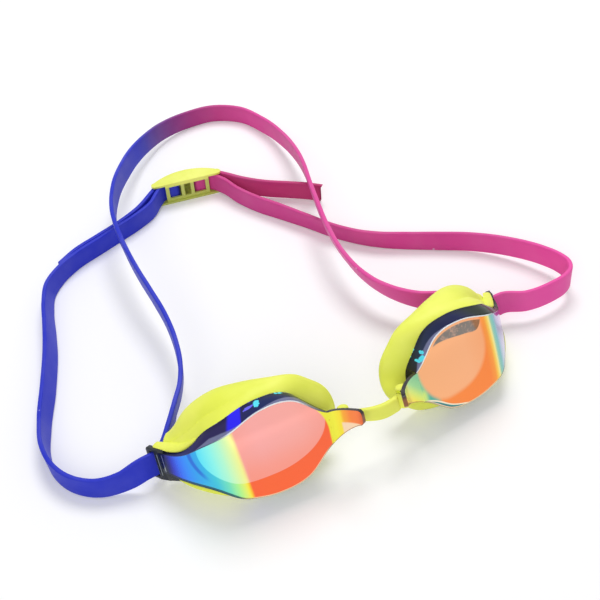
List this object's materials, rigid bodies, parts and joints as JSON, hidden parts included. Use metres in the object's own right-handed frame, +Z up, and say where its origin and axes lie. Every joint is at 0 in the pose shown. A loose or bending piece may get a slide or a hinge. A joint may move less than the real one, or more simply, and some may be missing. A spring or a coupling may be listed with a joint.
{
  "type": "swim goggles",
  "caption": "Mirrored swim goggles with soft lime eye seals, a lime nose bridge, a split silicone strap from blue to pink and a lime slide buckle.",
  "frame": {"origin": "middle of the footprint, on the surface that the goggles lie on", "axes": "X across the goggles from the blue side to the pink side, Y from the nose bridge back to the strap's crown, Z up from the surface"},
  "size_m": [0.2094, 0.2218, 0.0356],
  "materials": {
    "lens_mirror": "clear moulded plastic with a rainbow mirror coating",
    "lime_silicone": "satin soft silicone",
    "lime_plastic": "smooth moulded plastic",
    "strap_blue": "satin silicone",
    "strap_purple": "satin silicone that runs from blue to pink",
    "strap_pink": "satin silicone"
  },
  "bodies": {
    "strap": {"nose_bridge": "lime_silicone", "strap_left_lower": "strap_blue", "strap_right_lower": "strap_pink", "strap_left_back": "strap_blue", "strap_right_back": "strap_pink", "strap_left_tail": "strap_blue", "strap_right_tail": "strap_pink", "strap_left_upper": "strap_blue", "strap_right_upper": "strap_pink", "strap_crown": "strap_purple"},
    "left_eyecup": {"left_lens": "lens_mirror", "left_seal": "lime_silicone", "strap_left_wrap": "strap_blue"},
    "right_eyecup": {"right_lens": "lens_mirror", "right_seal": "lime_silicone", "strap_right_wrap": "strap_pink"},
    "slide_buckle": {"buckle": "lime_plastic", "strap_left_loop": "strap_blue", "strap_right_loop": "strap_pink"}
  },
  "joints": [
    {"name": "left_hook_hinge", "type": "hinge", "parent": "strap", "child": "left_eyecup", "pos_m": [-0.0123, -0.10281, 0.02177], "axis": [0.0131, 0.3744, 0.9272], "range_deg": [-15, 20], "stiffness_Nm_per_rad": 0.02, "deforming": ["strap_left_lower", "strap_left_upper"]},
    {"name": "right_hook_hinge", "type": "hinge", "parent": "strap", "child": "right_eyecup", "pos_m": [0.00941, -0.10335, 0.02177], "axis": [-0.0457, 0.3718, 0.9272], "range_deg": [-20, 15], "stiffness_Nm_per_rad": 0.02, "deforming": ["strap_right_lower", "strap_right_upper"]},
    {"name": "buckle_slide", "type": "slide", "parent": "strap", "child": "slide_buckle", "axis": [0.9848, -0.1736, 0], "range_m": [-0.004, 0.004], "deforming": ["strap_left_back", "strap_right_back", "strap_left_tail", "strap_right_tail"]}
  ]
}
